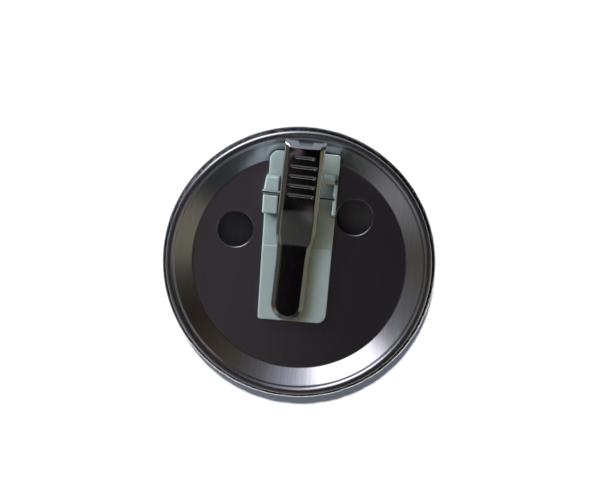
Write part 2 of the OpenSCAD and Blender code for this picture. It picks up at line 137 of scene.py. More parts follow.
class ClipSizes(bpy.types.PropertyGroup):
    """Sizes of the clip on the badge's back."""

    tape_inset: length("Tape inset", "How far the tape stays inside the base's edge", 0.8)
    tape_bow: length("Tape bow", "How far the tape's side bows in", 0.15)
    base_x: length("Base across", "Place of the base's middle across the badge", -0.78)
    base_y: length("Base along", "Place of the base's middle along the badge", 5.72)
    base_turn: angle("Base turn", "Turn of the base from the lever", 2.3)
    base_w: length("Base width", "Width of the base at its middle", 14.8)
    base_taper: length("Base taper", "How much wider the base is at its thumb end", 0.8)
    base_step: length("Base step", "How far the base's left side steps in past the ear", 0.5)
    base_len: length("Base length", "Length of the base", 35.8)
    base_z: length("Base height", "Height of the base's underside", 5.53369)
    floor_z: length("Floor height", "Height of the base's upper side", 6.83369)
    bed_z: length("Bed height", "Height of the jaw's bed", 7.13369)
    bed_start: length("Bed start", "Place of the bed's edge from the axle", 11.1)
    ear_top: length("Ear height", "Height of the ears' tops", 9.48369)
    ear_south: length("Ear length", "Length of the ears from the axle towards the jaw", 4.4)
    ear_run: length("Ear slope", "How far the ears' ends slope in", 0.8)
    left_ear_north: length("Left ear", "Length of the left ear towards the thumb end", 3.8)
    left_ear_w: length("Left ear width", "Width of the left ear", 3.15)
    left_ear_out: length("Left ear out", "How far the left ear stands out", 0.3)
    right_ear_north: length("Right ear", "Length of the right ear towards the thumb end", 4.8)
    right_ear_w: length("Right ear width", "Width of the right ear's end block", 3)
    right_wall: length("Right wall", "Thickness of the right ear's wall", 0.85)
    end_block: length("End block", "Length of the right ear's end block", 2.1)
    axle_y: length("Axle along", "Place of the axle along the badge", 14.8)
    axle_z: length("Axle height", "Height of the axle", 9.13369)
    axle_r: length("Axle radius", "Radius of the axle", 0.5)
    lever_x: length("Lever across", "Place of the lever's middle across the badge", -1.3)
    lever_t: length("Lever sheet", "Thickness of the lever's steel", 0.5)
    lever_cap: length("Pad height", "Height of the pad above the axle", 2.1)
    pad_angle: angle("Pad slope", "Slope of the thumb pad", 9.2)
    pad_w: length("Pad width", "Width of the thumb pad", 8.35)
    hip_w: length("Hip width", "Width of the lever at its hips", 8.55)
    hip_at: length("Hip place", "Length from the axle to the hips", 5.58)
    hip_end: length("Hip end", "Length from the axle to where the hips end", 8.35)
    jaw_w: length("Jaw width", "Width of the jaw", 7)
    neck_w: length("Neck width", "Width of the lever at its lower bend", 7.3)
    neck: length("Neck", "Length in which the jaw takes its width", 2.5)
    flange_w: length("Flange width", "Width of the end flange at its free edge", 8.5)
    thumb_reach: length("Thumb reach", "Length from the axle to the fold", 9.8)
    jaw_reach: length("Jaw reach", "Length from the axle to the jaw's tip", 26.7)
    waist_top: length("Waist top", "Length from the axle to the upper bend", 3.05)
    waist_arch: length("Waist arch", "How far the upper bend drops at its ends", 0.45)
    waist_end: length("Waist end", "Length from the axle to the lower bend", 10.8)
    jaw_z: length("Jaw height", "Height of the jaw's upper side", 8.93369)
    jaw_depth: length("Jaw depth", "Depth of the jaw's flanges", 1.7)
    waist_depth: length("Waist depth", "Depth of the waist's flanges", 1.45)
    pad_depth: length("Pad depth", "Depth of the pad's flanges", 1.8)
    end_depth: length("End depth", "Depth of the edge along the end flange", 1.154)
    lobe: length("Lobe radius", "Radius of the flanges round the axle", 1.5)
    rim_w: length("Edge width", "Width of the sloping edge along the lever", 0.9)
    rim_slope: angle("Edge slope", "Slope of that edge", 36)
    rim_bend: length("Edge bend", "Inner radius of the bends along that edge", 0.1)
    flange_len: length("Flange length", "Length of the end flange", 1.85)
    flange_drop: angle("Flange drop", "Angle of the end flange below the level", 38)
    horn: length("Horns", "How far the end flange's corners stand out", 0.35)
    notch_w: length("Notch width", "Width of the notch in the end flange", 2.9)
    notch_depth: length("Notch depth", "Depth of the notch in the end flange", 1.1)
    droop: length("Fold droop", "How far the fold's ends run on down the end flange", 0.25)
    grooves: IntProperty(name="Grooves", description="Number of grooves across the pad", default=5)
    groove_pitch: length("Groove pitch", "Distance from one groove to the next", 1.98)
    groove_len: length("Groove length", "Length of a groove", 5.6)
    groove_short: length("Last groove", "How much shorter the last groove is", 1.2)
    groove_w: length("Groove width", "Width of a groove", 0.8)
    groove_depth: length("Groove depth", "Depth of a groove", 0.16)
    wire: length("Wire radius", "Radius of the spring's wire", 0.25)
    coil: length("Coil radius", "Radius of the spring's coil", 1.1)
    coil_pitch: length("Coil pitch", "Distance from one turn to the next", 1.02)
    leg: length("Leg length", "Length of the spring's straight legs", 6)


class BadgeFinishes(bpy.types.PropertyGroup):
    """Colours of the badge and of its stage."""

    tinplate: finish("Tinplate", "Colour of the plain tinplate", "#BAB5BA")
    # The inside is coloured darker than the plate's tinplate: painted shade for the inside seen through the
    # holes
    inside: finish("Inside", "Colour of the front's bare steel inside", "#888588")
    nickel: finish("Nickel", "Colour of the lever's nickel plating", "#B4B0AD")
    plastic: finish("Plastic", "Colour of the clip's milky plastic", "#95A3A7")
    print_ink: finish("Print", "Colour of the plain print on the front", "#171A26")
    foam: finish("Foam", "Colour of the foam tape", "#DDDCD4")
    axle: finish("Axle", "Colour of the axle's wire", "#B4B4B2")
    wire: finish("Wire", "Colour of the spring's wire", "#CFCFCC")
    floor: finish("Floor", "Colour of the floor", "#F4F4F4")
    shadow: finish("Shadow", "Colour of the floor in shadow", "#434B57")


def in_mm(group):
    """The group's lengths in millimetres, and its angles and counts as they are."""
    values = {}
    for name, prop in group.bl_rna.properties.items():
        if prop.type in {"FLOAT", "INT"}:
            value = getattr(group, name)
            values[name] = value / MM if prop.unit == "LENGTH" else value
    return type("Sizes", (), values)


def smoothstep(x):
    """0 below 0, 1 above 1, and a smooth cubic rise between them."""
    x = np.clip(x, 0, 1)
    return x * x * (3 - 2 * x)


def arc(centre, radius, start, end, steps):
    """Points on a circle at equal steps of angle, from start to end in radians."""
    a = np.linspace(start, end, steps + 1)
    return np.array(centre) + radius * np.column_stack([np.cos(a), np.sin(a)])


def even_path(points, step, blur):
    """A path through the points at an even step, its corners rounded by averaging it along blur."""
    points = np.asarray(points, float)
    run = np.concatenate([[0], np.cumsum(np.linalg.norm(np.diff(points, axis=0), axis=1))])
    count = max(int(run[-1] / step), 8)
    at = np.linspace(0, run[-1], count + 1)
    even = np.column_stack([np.interp(at, run, points[:, k]) for k in range(2)])
    half = int(blur / step)
    if half < 1:
        return even
    weights = np.hanning(2 * half + 3)[1:-1]
    before = 2 * even[0] - even[half:0:-1]
    after = 2 * even[-1] - even[-2 : -half - 2 : -1]
    padded = np.vstack([before, even, after])
    return np.column_stack(
        [np.convolve(padded[:, k], weights / weights.sum(), "valid") for k in range(2)]
    )


def normals(path):
    """The unit vectors to the left of a path at its points."""
    along = np.gradient(path, axis=0)
    along /= np.linalg.norm(along, axis=1)[:, None]
    return np.column_stack([-along[:, 1], along[:, 0]])


def grid_faces(rows, columns, close_rows=False, close_columns=False):
    """The quads of a grid of points counted row by row, with its ends joined where it closes."""
    index = np.arange(rows * columns).reshape(rows, columns)
    if close_rows:
        index = np.vstack([index, index[:1]])
    if close_columns:
        index = np.hstack([index, index[:, :1]])
    return np.stack(
        [index[:-1, :-1], index[1:, :-1], index[1:, 1:], index[:-1, 1:]], axis=-1
    ).reshape(-1, 4)


def welded(points, faces):
    """The points with those at one place made one, and the faces without sides of no length."""
    keys = np.round(points * WELDS_PER_MM).astype(np.int64)
    _, first, place = np.unique(keys, axis=0, return_index=True, return_inverse=True)
    faces = place.reshape(-1)[faces]
    same = faces == np.roll(faces, -1, axis=1)
    quads = faces[~same.any(axis=1)]
    folded = faces[same.sum(axis=1) == 1]
    keep = ~same[same.sum(axis=1) == 1]
    return points[first], quads, folded[keep].reshape(-1, 3)


def volume(points, triangles):
    """The volume inside triangles that face outwards, from tetrahedra to the origin."""
    a, b, c = (points[triangles[:, k]] for k in range(3))
    return np.einsum("ij,ij->i", a, np.cross(b, c)).sum() / 6


def closed_shell(points, faces):
    """Welded points, quads and triangles of a closed surface, turned to face outwards."""
    points, quads, triangles = welded(points.reshape(-1, 3), faces)
    halves = np.vstack([quads[:, [0, 1, 2]], quads[:, [0, 2, 3]], triangles])
    if volume(points, halves) < 0:
        quads, triangles = quads[:, ::-1], triangles[:, ::-1]
    return points, quads, triangles


def grid_shell(points, close_rows=False, close_columns=False):
    """The closed shell of a grid of points, with its ends joined where it closes."""
    return closed_shell(points, grid_faces(*points.shape[:2], close_rows, close_columns))


def revolved(profile, turns):
    """A closed profile of radius and height turned round Z: each point goes round a circle."""
    a = np.asarray(turns)[:, None]
    r, z = profile[:, 0][None], profile[:, 1][None]
    return np.stack([r * np.cos(a), r * np.sin(a), z + 0 * a], axis=-1)


def whole_turn(count, start=0.0):
    """Equal angles round a whole turn."""
    return start + np.arange(count) * 2 * np.pi / count


def make_piece(name, shells, material, body, node):
    """One mesh object from closed shells in millimetres, riding on a body in place of a CAD node."""
    points, faces, start = [], [], 0
    for shell_points, quads, triangles in shells:
        points.append(shell_points)
        faces += (quads + start).tolist() + (triangles + start).tolist()
        start += len(shell_points)
    mesh = bpy.data.meshes.new(name)
    mesh.from_pydata((np.vstack(points) * MM).tolist(), [], faces)
    mesh.update()
    if mesh.validate():
        raise RuntimeError(f"{name} has faces that don't hold together")
    mesh.polygons.foreach_set("use_smooth", np.ones(len(mesh.polygons), bool))
    mesh.set_sharp_from_angle(angle=SHARP)
    mesh.materials.append(material)
    piece = bpy.data.objects.new(name, mesh)
    bpy.context.scene.collection.objects.link(piece)
    if body:
        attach(piece, body)
    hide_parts(node)
    return piece


def add(tree, kind, inputs=None, **settings):
    """Adds a shader node with its settings, and sets or links its inputs."""
    node = tree.nodes.new("ShaderNode" + kind)
    for name, value in settings.items():
        setattr(node, name, value)
    for name, value in (inputs or {}).items():
        if isinstance(value, bpy.types.NodeSocket):
            tree.links.new(value, node.inputs[name])
        else:
            node.inputs[name].default_value = value
    return node


def make_material(name, finish_inputs, **values):
    """A material of one shader, whose inputs a finish works out in the node tree from the values."""
    material = bpy.data.materials.new(name)
    material.use_nodes = True
    tree = material.node_tree
    tree.nodes.clear()
    shader = add(tree, "BsdfPrincipled", finish_inputs(tree, **values))
    add(tree, "OutputMaterial", {"Surface": shader.outputs["BSDF"]})
    return material


def colour4(colour):
    """A linear colour with full opacity."""
    return (*colour, 1)


def stops(ramp, pairs):
    """Sets a colour ramp's stops from pairs of place and sRGB hex value."""
    values = [(place, colour4(linear(text))) for place, text in pairs]
    ramp.elements[0].position, ramp.elements[0].color = values[0]
    ramp.elements[1].position, ramp.elements[1].color = values[-1]
    for place, colour in values[1:-1]:
        ramp.elements.new(place).color = colour


def streaks(tree, across, along, turn):
    """Noise drawn out into lines: its grain is across wide and along long, in millimetres."""
    place = add(tree, "TexCoord").outputs["Object"]
    scale = (1 / (across * MM), 1 / (along * MM), 1 / (along * MM))
    drawn = add(tree, "Mapping", {"Vector": place, "Rotation": (0, 0, turn), "Scale": scale})
    noise = {"Vector": drawn.outputs["Vector"], "Scale": 1.0, "Detail": 2.0, "Roughness": 0.6}
    return add(tree, "TexNoise", noise).outputs["Fac"]


def grain(tree, texture, size, **inputs):
    """The value of a texture whose grain is some size across, in millimetres."""
    place = add(tree, "TexCoord").outputs["Object"]
    return add(tree, texture, {"Vector": place, "Scale": 1 / (size * MM), **inputs}).outputs[0]


def tinted(tree, colour, pattern, low, high):
    """A colour times a shade that follows a pattern from low to high."""
    shade = add(tree, "MapRange", {"Value": pattern, "To Min": low, "To Max": high})
    factors = {"Factor": 1.0, "A": colour4(colour), "B": shade.outputs["Result"]}
    return add(tree, "Mix", factors, data_type="RGBA", blend_type="MULTIPLY").outputs["Result"]


def brushed_tinplate(tree, colour, roughness, width):
    """Tinplate: steel sheet with a flow-melted tin coat, whose rolling lines blur what it mirrors."""
    # Rolling lines are some 0.05 mm apart, and are drawn coarser so that they show
    lines = streaks(tree, across=width, along=14, turn=-PHOTO_TURN)
    rough = add(tree, "MapRange", {"Value": lines, "To Min": roughness * 0.85, "To Max": roughness * 1.15})
    relief = add(tree, "Bump", {"Height": lines, "Strength": 0.02, "Distance": 0.01 * MM})
    return {
        "Base Color": tinted(tree, colour, lines, 0.84, 1.14),
        # The dull tin between the lines scatters a little light
        "Metallic": 0.995,
        "Roughness": rough.outputs["Result"],
        "Normal": relief.outputs["Normal"],
    }


def plated_nickel(tree, colour, roughness):
    """Bright nickel on pressed steel, or bright drawn wire: a clear mirror with faint wear and a slight
    orange peel."""
    wear = streaks(tree, across=0.6, along=3, turn=0.4)
    rough = add(tree, "MapRange", {"Value": wear, "To Min": roughness * 0.6, "To Max": roughness * 1.6})
    relief = add(tree, "Bump", {"Height": wear, "Strength": 0.05, "Distance": 0.01 * MM})
    return {
        "Base Color": colour4(colour),
        "Metallic": 1.0,
        "Roughness": rough.outputs["Result"],
        "Normal": relief.outputs["Normal"],
    }


def milky_polypropylene(tree, colour):
    """Moulded unfilled polypropylene: milky, so light soaks in and its edges glow a little."""
    # Flow marks of the moulding, a few millimetres across
    flow = grain(tree, "TexNoise", 4, Detail=3.0)
    return {
        "Base Color": tinted(tree, colour, flow, 0.9, 1.06),
        "Roughness": 0.42,
        "IOR": 1.49,
        "Subsurface Weight": 0.9,
        "Subsurface Radius": (1.0, 1.1, 0.9),
        "Subsurface Scale": 1.5 * MM,
    }


def clear_polyester(tree):
    """Polyester film: clear and glossy, so that it shows as the shine over the print."""
    # The IOR is below polyester's own, because the film lies close on the print
    return {"Base Color": (1, 1, 1, 1), "Transmission Weight": 1.0, "Roughness": 0.05, "IOR": 1.22}


def printed_paper(tree, colour):
    """Coated paper with one plain ink: a faint mottle of the fibres under the colour."""
    mottle = grain(tree, "TexNoise", 0.8, Detail=4.0)
    ink = tinted(tree, colour, mottle, 0.85, 1.15)
    return {"Base Color": ink, "Roughness": 0.5, "Specular IOR Level": 0.0}


def foam_tape(tree, colour):
    """Closed-cell foam: matt, with cells some tenths of a millimetre across."""
    cells = grain(tree, "TexVoronoi", 0.35)
    pale = tinted(tree, colour, cells, 1.0, 0.75)
    relief = add(tree, "Bump", {"Height": cells, "Strength": 0.4, "Distance": 0.1 * MM})
    return {"Base Color": pale, "Roughness": 0.85, "Normal": relief.outputs["Normal"]}


def layer_profile(s, near, far, end):
    """The section of one layer of the front, between two depths: the dome's arc, the lower edge's arc,
    the upright side and the curl's arc."""
    tilt = math.asin((s.rim - s.edge) / (s.dome - s.edge))
    lower = (s.rim - s.edge, s.dome - (s.dome - s.edge) * math.cos(tilt))
    middle = (s.rim - s.curl, lower[1] + s.wall)
    down, foot = -np.pi / 2, -np.pi / 2 + tilt
    dome = arc((0, s.dome), s.dome, down, foot, steps=16)
    edge = arc(lower, s.edge, foot, 0, steps=12)
    path = np.vstack([dome, edge[1:], arc(middle, s.curl, 0, end, steps=28)])
    side = normals(path)
    side[0] = (0, 1)
    outside, inside = path + side * near, path + side * far
    outside[0, 0] = inside[0, 0] = 0
    return np.vstack([outside, inside[::-1]]), np.array(middle)


def gathered(points, middle, s):
    """The front's edge drawn in towards the curl's middle at its gathers, which deepen past the upright
    side: a cosine for each gather, whose place sways round the rim, and a finer one between them."""
    full, tiny = math.radians(30), 1e-6
    turn = np.arctan2(points[..., 1], points[..., 0])
    radius = np.hypot(points[..., 0], points[..., 1])
    out, up = radius - middle[0], points[..., 2] - middle[1]
    share = smoothstep(np.arctan2(up, out) / full) * (out > -s.curl)
    wave = 0.5 + 0.5 * np.cos(s.pleats * turn + 2.1 * np.sin(3 * turn) + 1.3 * np.sin(7 * turn + 1))
    ripple = 0.5 + 0.5 * np.cos(3 * s.pleats * turn + 4 * np.sin(5 * turn + 2))
    depth = s.pleat_depth * share * (0.75 * wave**6 + 0.25 * ripple**3)
    scale = 1 - depth / np.maximum(np.hypot(out, up), tiny)
    drawn = middle[0] + out * scale
    factor = np.where(share > 0, drawn / np.maximum(radius, tiny), 1)
    height = np.where(share > 0, middle[1] + up * scale, points[..., 2])
    return np.stack([points[..., 0] * factor, points[..., 1] * factor, height], axis=-1)


class BADGE_OT_front(bpy.types.Operator):
    """Build the domed front: clear film, printed paper and tinplate shell"""

    bl_idname = "badge.front"
    bl_label = "Badge front"

    def execute(self, context):
        s = in_mm(context.scene.badge_sizes)
        finishes = context.scene.badge_finishes
        paper = s.film + s.layer_gap
        steel = paper + s.paper + s.layer_gap
        # The film's outside stays a hair inside the CAD solid's
        skin = 0.01
        film = make_material("Clear polyester film", clear_polyester)
        ink = make_material("Printed paper", printed_paper, colour=finishes.print_ink)
        # The inside's darker colour is painted shade where it shows through the holes
        shaded = make_material(
            "Tinplate inside", brushed_tinplate, colour=finishes.inside, roughness=0.42, width=0.4
        )
        layers = (
            ("film", skin, s.film, film, "clear_film", "clear_film"),
            ("paper", paper, paper + s.paper, ink, "print_paper", "artwork_disc"),
            ("tinplate", steel, steel + s.shell, shaded, "tinplate", "front_shell"),
        )
        # Columns round the front: enough for the gathers, and fewer where there are none
        fine, coarse = 720, 240
        for name, near, far, material, slot, node in layers:
            inside = name == "tinplate"
            profile, middle = layer_profile(s, near, far, s.tuck - s.setback if inside else s.tuck)
            points = revolved(profile, whole_turn(coarse if inside else fine))
            if not inside:
                points = gathered(points, middle, s)
            shell = grid_shell(points, close_rows=True)
            make_piece("front_" + name, [shell], material, "badge", node)
        return {"FINISHED"}


def plate_rings(s):
    """The plate's section outside its flat: the sloping ring and the bead, its corners rounded, with a
    half circle for the lip."""
    # The flat's outer part that belongs to this section
    margin = 1.0
    bead = arc((s.bead_at, s.bead_z), s.bead, s.bead_foot, s.lip, steps=40)
    start = (s.slope_from - margin, s.plate_z)
    corners = [start, (s.slope_from, s.plate_z), (s.slope_to, s.slope_top)]
    path = even_path(np.vstack([corners, bead[1:]]), step=0.08, blur=0.24)
    path[0] = start
    side = normals(path)
    side[0] = (0, 1)
    under = path - side * s.plate
    middle, back = (path[-1] + under[-1]) / 2, side[-1]
    heading = np.array([back[1], -back[0]])
    a = np.linspace(np.pi / 2, -np.pi / 2, 7)[1:-1, None]
    lip = middle + s.plate / 2 * (np.sin(a) * back + np.cos(a) * heading)
    return np.vstack([path, lip, under[::-1]])


def half_flat(s, turns, radius, side):
    """Half of the plate's flat with one hole: each line runs from the half disc's edge, straight towards
    the hole's middle, over the hole's rounded edge, down its wall and back out underneath."""
    rim = radius * np.column_stack([np.cos(turns), np.sin(turns)])
    across = np.array([math.cos(s.hole_turn), math.sin(s.hole_turn)])
    chord = np.linspace(-side * radius, side * radius, 121)[1:-1, None] * across
    loop = np.vstack([rim, chord])
    at = s.hole_turn + side * s.hole_angle
    centre = s.hole_circle * np.array([math.cos(at), math.sin(at)])
    out = loop - centre
    out /= np.linalg.norm(out, axis=1)[:, None]
    edge = np.linspace(0, np.pi / 2, 6)
    top = [(s.hole + s.burr * (1 - math.sin(e)), -s.burr * (1 - math.cos(e))) for e in edge]
    wall = [(s.hole, -s.plate * 0.9), (s.hole + 0.1 * s.plate, -s.plate)]
    # Rings close to the rim and the hole keep the shading of their edges off the flat
    rings = [(s.hole + s.burr + 0.5, 0), (s.hole + s.burr + 0.06, 0), *top, *wall]
    lines = [(loop, 0), (loop - out * 0.05, 0), *((centre + out * r, z) for r, z in rings), (loop, -s.plate)]
    return np.array([np.column_stack([xy, np.full(len(loop), s.plate_z + z)]) for xy, z in lines])


class BADGE_OT_back_plate(bpy.types.Operator):
    """Build the dished back plate with its rolled bead and two round holes"""

    bl_idname = "badge.back_plate"
    bl_label = "Back plate"

    def execute(self, context):
        s = in_mm(context.scene.badge_sizes)
        profile = plate_rings(s)
        count = 440
        turns = whole_turn(count, s.hole_turn)
        ring = revolved(profile, turns)
        grids = [(ring, grid_faces(count, len(profile), close_rows=True))]
        half = turns[: count // 2 + 1]
        for side, picked in ((1, half), (-1, half - np.pi)):
            flat = half_flat(s, picked, profile[0, 0], side)
            grids.append((flat, grid_faces(*flat.shape[:2], close_columns=True)))
        points = [grid.reshape(-1, 3) for grid, _ in grids]
        starts = np.cumsum([0] + [len(part) for part in points])
        faces = [quads + start for (_, quads), start in zip(grids, starts)]
        shell = closed_shell(np.vstack(points), np.vstack(faces))
        colour = context.scene.badge_finishes.tinplate
        material = make_material(
            "Brushed tinplate", brushed_tinplate, colour=colour, roughness=0.24, width=0.34
        )
        make_piece("back_plate_sheet", [shell], material, "badge", "back_plate")
        return {"FINISHED"}


def rounded_polygon(corners, radii, steps):
    """An outline, counted anticlockwise, with its corners rounded by one radius or by one each: for each
    point the middle of its corner's arc, the arc's radius, negative where the corner points in, and the
    way outwards."""
    corners = np.asarray(corners, float)
    before, after = corners - np.roll(corners, 1, axis=0), np.roll(corners, -1, axis=0) - corners
    start = np.arctan2(-before[:, 0], before[:, 1])
    turn = (np.arctan2(-after[:, 0], after[:, 1]) - start + np.pi) % (2 * np.pi) - np.pi
    radius = np.asarray(radii) * np.sign(turn)
    half = start + turn / 2
    middle = corners - (radius / np.cos(turn / 2))[:, None] * np.column_stack([np.cos(half), np.sin(half)])
    a = start[:, None] + turn[:, None] * np.linspace(0, 1, steps + 1)
    out = np.stack([np.cos(a), np.sin(a)], axis=-1).reshape(-1, 2)
    return np.repeat(middle, steps + 1, axis=0), np.repeat(radius, steps + 1)[:, None], out


def block(corners, radii, z, edge, runs=(0, 0)):
    """A moulded block: one rounded outline stacked in height, drawn in along a quarter circle at the top,
    while its two ends slope in evenly by the runs. The top and the bottom close on a line."""
    middle, radius, out = rounded_polygon(corners, radii, steps=8)
    a = np.linspace(0, np.pi / 2, 9)
    # A ring just inside the edge keeps its shading off the flat top and bottom
    shrink = np.array([0.94, 0.98])
    rise = np.concatenate([[0.0], z[1] - z[0] - edge * (1 - np.sin(a))])
    inset = np.concatenate([[0.0], edge * (1 - np.cos(a))])
    flat = middle + (radius - inset[:, None, None]) * out
    centre = np.mean(corners, axis=0)
    slope = np.where(flat[..., 1] < centre[1], runs[0], -runs[1]) * (rise / rise[-1])[:, None]
    rings = np.dstack([flat[..., 0], flat[..., 1] + slope, z[0] + rise[:, None] + 0 * slope])
    ends = []
    for ring in (rings[0], rings[-1]):
        inner, line = ring.copy(), ring.copy()
        inner[:, :2] = centre + (ring[:, :2] - centre) * shrink
        line[:, 0], line[:, 1] = centre[0], inner[:, 1]
        ends.append((inner, line))
    return np.concatenate([[ends[0][1], ends[0][0]], rings, [ends[1][0], ends[1][1]]])


def oblong(x, y):
    """The corners of an upright oblong, anticlockwise from the upper right."""
    return [(x[1], y[1]), (x[0], y[1]), (x[0], y[0]), (x[1], y[0])]


def on_base(s, points):
    """Points given from the base's middle, turned and moved to where the base lies."""
    c, n = math.cos(s.base_turn), math.sin(s.base_turn)
    x, y = points[..., 0], points[..., 1]
    flat = np.stack([s.base_x + c * x - n * y, s.base_y + n * x + c * y], axis=-1)
    return np.concatenate([flat, points[..., 2:]], axis=-1)


def base_half(s, y):
    """Half the base's width at a place along it: it narrows evenly towards the jaw."""
    return (s.base_w + s.base_taper * y / s.base_len) / 2


# Radii of the base's outer corners at its upper left and lower right, and of its other corners
BASE_ROUND, BASE_CORNER = 1.9, 0.5


class BADGE_OT_clip_base(bpy.types.Operator):
    """Build the clip's plastic base with its bed and ears"""

    bl_idname = "badge.clip_base"
    bl_label = "Clip base"

    def execute(self, context):
        s = in_mm(context.scene.clip_sizes)
        end = s.base_len / 2
        axle = s.axle_y - s.base_y
        # The tray and the ears start inside the slab
        low, tray_low = s.floor_z - 0.6, s.floor_z - 0.5
        step = axle + s.left_ear_north - s.ear_run
        bed = axle - s.bed_start
        thumb, jaw, waist, foot = (base_half(s, y) for y in (end, -end, step, bed))
        slab = [
            (thumb, end),
            (s.base_step - thumb, end),
            (s.base_step - waist, step),
            (-waist, step),
            (-jaw, -end),
            (jaw, -end),
        ]
        slab_radii = (BASE_CORNER, BASE_ROUND, 0.4, BASE_CORNER, BASE_CORNER, BASE_ROUND)
        tray = [(foot, bed), (-foot, bed), (-jaw, -end), (jaw, -end)]
        tray_radii = (0.45, 0.45, BASE_CORNER, BASE_ROUND)
        ear, top = base_half(s, axle), s.ear_top
        left = (-ear - s.left_ear_out, s.left_ear_w - ear - s.left_ear_out)
        south, north, far = axle - s.ear_south, axle + s.left_ear_north, axle + s.right_ear_north
        wall, last = (ear - s.right_wall, ear), (ear - s.right_ear_w, ear)
        # Rounding of the slab's edge, of the ears and of the right ear's wall
        crisp, soft, thin = 0.12, 0.28, 0.3
        # The axle lies in a slot through the left ear, on a low saddle
        slot, saddle, saddle_top, saddle_edge = 0.4, 0.8, s.axle_z - 0.35, 0.1
        swell = [(left[1], north), (0.05 - ear, north), (left[0], axle + slot), (left[1], axle + slot)]
        stacks = [
            block(slab, slab_radii, (s.base_z, s.floor_z), crisp),
            block(tray, tray_radii, (tray_low, s.bed_z), crisp),
            block(oblong(left, (south, axle - slot)), soft, (low, top), soft, (0.2, 0)),
            block(swell, soft, (low, top), soft, (0, 0.4)),
            block(oblong(left, (axle - saddle, axle + saddle)), saddle_edge, (low, saddle_top), saddle_edge),
            block(oblong(wall, (south, far)), thin, (low, top), thin, (s.ear_run, s.ear_run)),
            block(oblong(last, (far - s.end_block, far)), soft, (low, top), soft, (0, s.ear_run)),
        ]
        shells = [grid_shell(on_base(s, stack), close_columns=True) for stack in stacks]
        plastic = context.scene.badge_finishes.plastic
        material = make_material("Milky polypropylene", milky_polypropylene, colour=plastic)
        make_piece("clip_base_moulding", shells, material, "badge", "clip_base")
        return {"FINISHED"}


class BADGE_OT_tape(bpy.types.Operator):
    """Build the foam tape between the plate and the clip's base"""

    bl_idname = "badge.tape"
    bl_label = "Foam tape"

    def execute(self, context):
        s = in_mm(context.scene.clip_sizes)
        badge = in_mm(context.scene.badge_sizes)
        end = s.base_len / 2
        thumb, jaw = base_half(s, end), base_half(s, -end)
        corners = [(thumb, end), (s.base_step - thumb, end), (-jaw, -end), (jaw, -end)]
        middle, radius, out = rounded_polygon(corners, BASE_ROUND, steps=12)
        outline = middle + (radius - s.tape_inset) * out
        outline = np.linspace(outline, np.roll(outline, -1, axis=0), 24, endpoint=False, axis=1)
        outline = on_base(s, outline.reshape(-1, 2))
        # The tape ends on the plate's flat, this far from the slope
        limit = badge.slope_from - 1.5
        outline *= np.minimum(1, limit / np.hypot(outline[:, 0], outline[:, 1]))[:, None]
        centre = outline.mean(0)
        away = outline - centre
        unit = away / np.linalg.norm(away, axis=1)[:, None]
        rise = np.linspace(0, 1, 7)
        waist = (s.tape_bow * np.sin(np.pi * rise))[:, None, None]
        z = (TAPE_LOW[2] + rise * (TAPE_HIGH[2] - TAPE_LOW[2]))[:, None, None]
        rings = np.concatenate([outline - unit * waist, z + 0 * outline[None, :, :1]], axis=-1)
        ends = rings[[0, -1]]
        ends[..., :2] = centre
        stack = np.concatenate([ends[:1], rings, ends[1:]])
        shell = grid_shell(stack, close_columns=True)
        foam = context.scene.badge_finishes.foam
        material = make_material("Closed-cell foam tape", foam_tape, colour=foam)
        tape = make_piece("tape_foam", [shell], material, "badge", "adhesive_pad")
        return {"FINISHED"}


class BADGE_OT_axle(bpy.types.Operator):
    """Build the axle that the lever turns on"""

    bl_idname = "badge.axle"
    bl_label = "Axle"

    def execute(self, context):
        s = in_mm(context.scene.clip_sizes)
        r, round_end = s.axle_r, 0.4
        low, high = AXLE_LOW[0], AXLE_HIGH[0]
        left = arc((r - round_end, low + round_end), round_end, -np.pi / 2, 0, steps=6)
        right = arc((r - round_end, high - round_end), round_end, 0, np.pi / 2, steps=6)
        profile = np.vstack([[(0, low)], left, right, [(0, high)]])
        turned = revolved(profile, whole_turn(48))
        along, out, up = turned[..., 2], turned[..., 0], turned[..., 1]
        shell = grid_shell(np.stack([along, s.axle_y + out, s.axle_z + up], axis=-1), close_rows=True)
        colour = context.scene.badge_finishes.axle
        material = make_material("Bright steel wire", plated_nickel, colour=colour, roughness=0.1)
        make_piece("axle_pin", [shell], material, "badge", "clip_axle")
        return {"FINISHED"}


